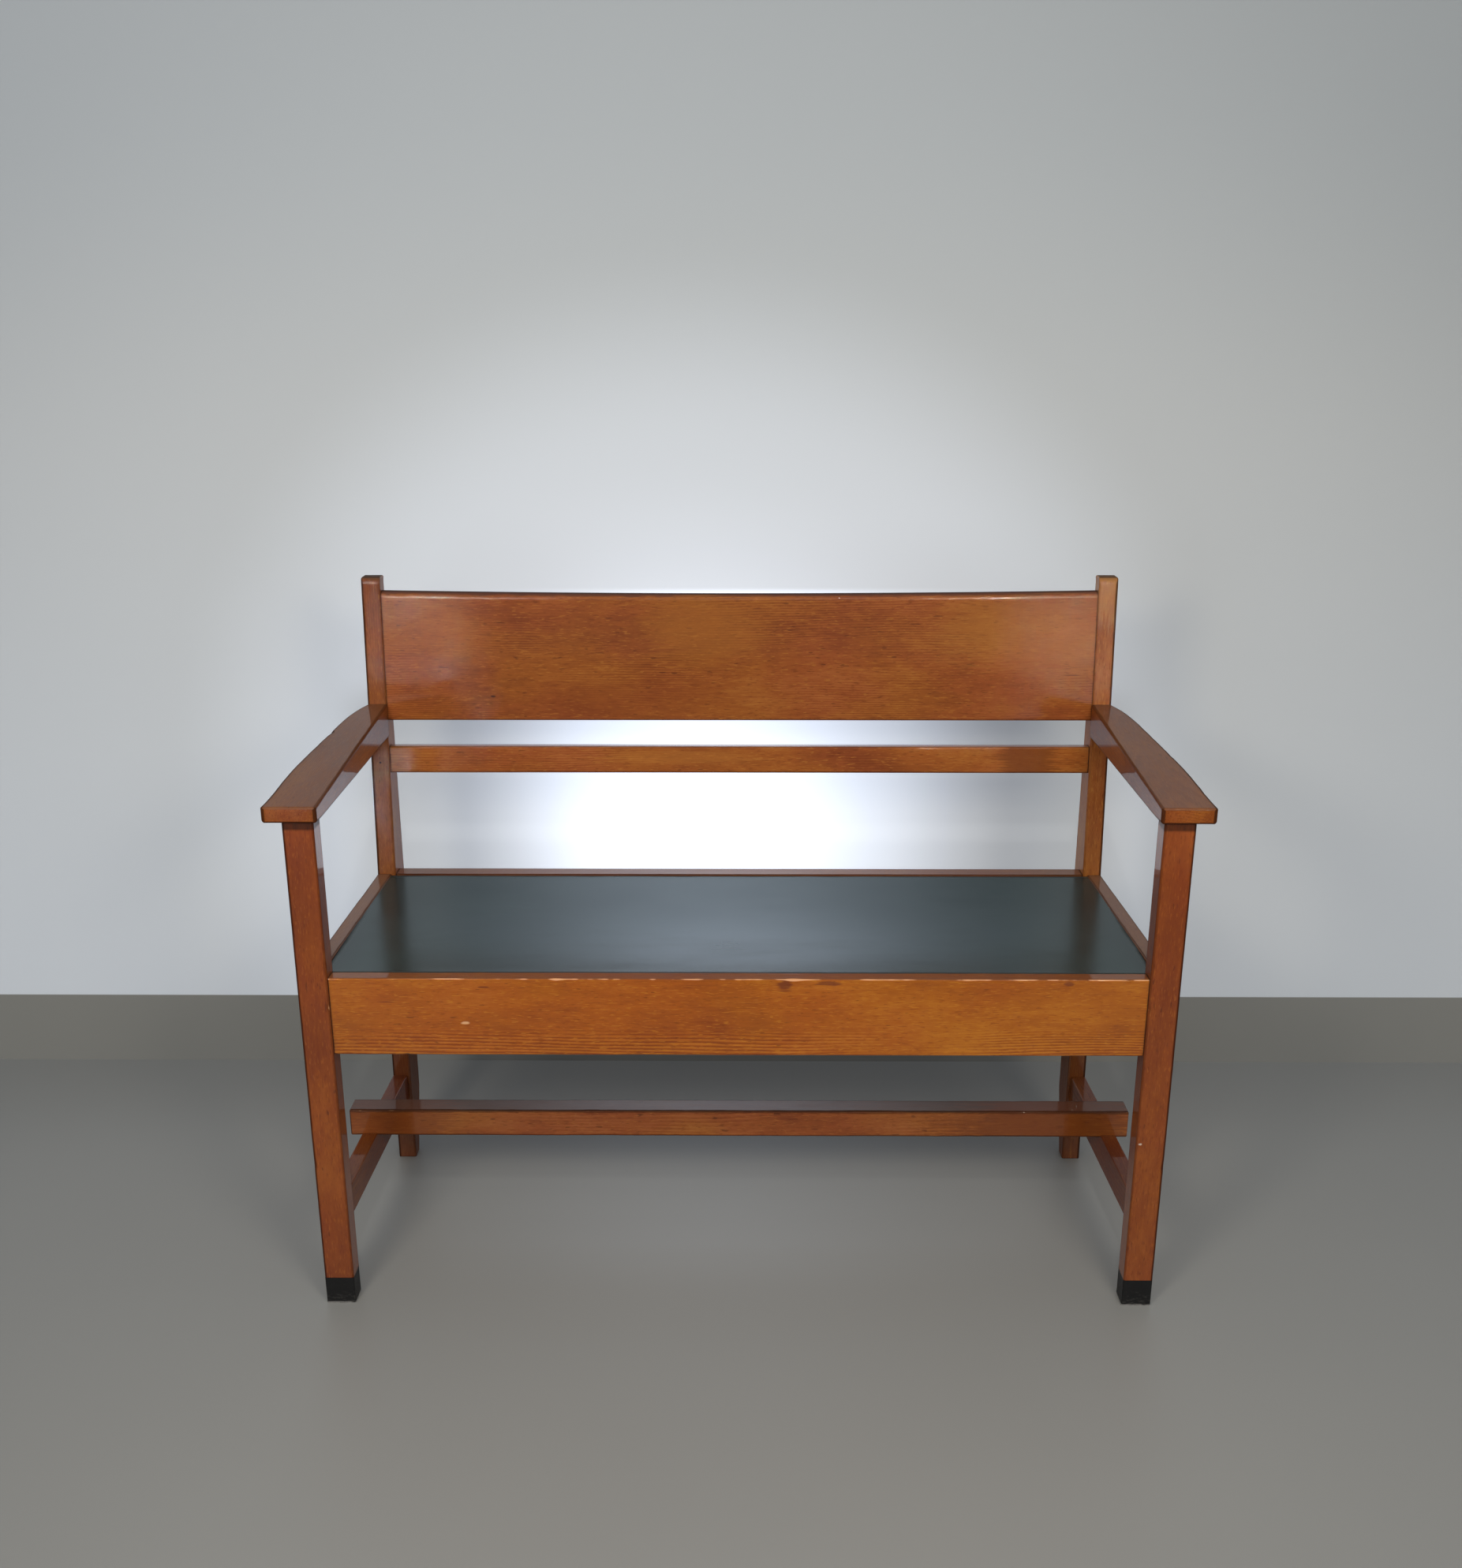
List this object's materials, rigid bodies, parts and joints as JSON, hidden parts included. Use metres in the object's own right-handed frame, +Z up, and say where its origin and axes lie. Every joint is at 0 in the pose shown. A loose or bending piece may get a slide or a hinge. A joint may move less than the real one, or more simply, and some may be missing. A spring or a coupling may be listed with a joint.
{
  "type": "mission settle",
  "caption": "Small stained-oak hall settle with flat arms, a wide back board over a narrow rail, a drop-in dark green seat and low stretchers.",
  "frame": {"origin": "on the floor, in the middle of the settle's width and depth", "axes": "+X to the viewer's right along the seat, +Y from the front legs to the back, +Z up"},
  "size_m": [1.0836, 0.401, 0.86],
  "materials": {
    "oak": "stained and varnished oak, satin to glossy, edges worn pale",
    "plain_wood": "bare wood, unfinished",
    "seat_board": "bare board, unfinished",
    "seat_cover": "smooth dark green sheet covering, semi-gloss",
    "black_sleeve": "black, dull",
    "steel": "plain steel, dull"
  },
  "bodies": {
    "frame": {"arm_dowel_left": "plain_wood", "arm_dowel_right": "plain_wood", "armrest_left": "oak", "armrest_right": "oak", "back_panel": "oak", "block_screw_front_cross_left": "steel", "block_screw_front_cross_right": "steel", "block_screw_front_side_left": "steel", "block_screw_front_side_right": "steel", "block_screw_rear_cross_left": "steel", "block_screw_rear_cross_right": "steel", "block_screw_rear_side_left": "steel", "block_screw_rear_side_right": "steel", "corner_block_front_left": "plain_wood", "corner_block_front_right": "plain_wood", "corner_block_rear_left": "plain_wood", "corner_block_rear_right": "plain_wood", "foot_sleeve_left": "black_sleeve", "foot_sleeve_right": "black_sleeve", "front_leg_left": "oak", "front_leg_right": "oak", "front_seat_rail": "oak", "ledger_screw_front_left": "steel", "ledger_screw_front_right": "steel", "ledger_screw_rear_left": "steel", "ledger_screw_rear_right": "steel", "ledger_screw_side_far_left": "steel", "ledger_screw_side_far_right": "steel", "ledger_screw_side_near_left": "steel", "ledger_screw_side_near_right": "steel", "long_stretcher": "oak", "lower_back_rail": "oak", "rear_post_left": "oak", "rear_post_right": "oak", "rear_seat_rail": "oak", "seat_ledger_front": "plain_wood", "seat_ledger_left": "plain_wood", "seat_ledger_rear": "plain_wood", "seat_ledger_right": "plain_wood", "side_seat_rail_left": "oak", "side_seat_rail_right": "oak", "side_stretcher_left": "oak", "side_stretcher_right": "oak", "stretcher_screw_left": "steel", "stretcher_screw_right": "steel"},
    "seat": {"seat_board": "seat_board", "seat_cover": "seat_cover"}
  },
  "joints": [
    {"name": "seat_lift", "type": "slide", "parent": "frame", "child": "seat", "axis": [0, 0, 1], "range_m": [0, 0.12]}
  ]
}
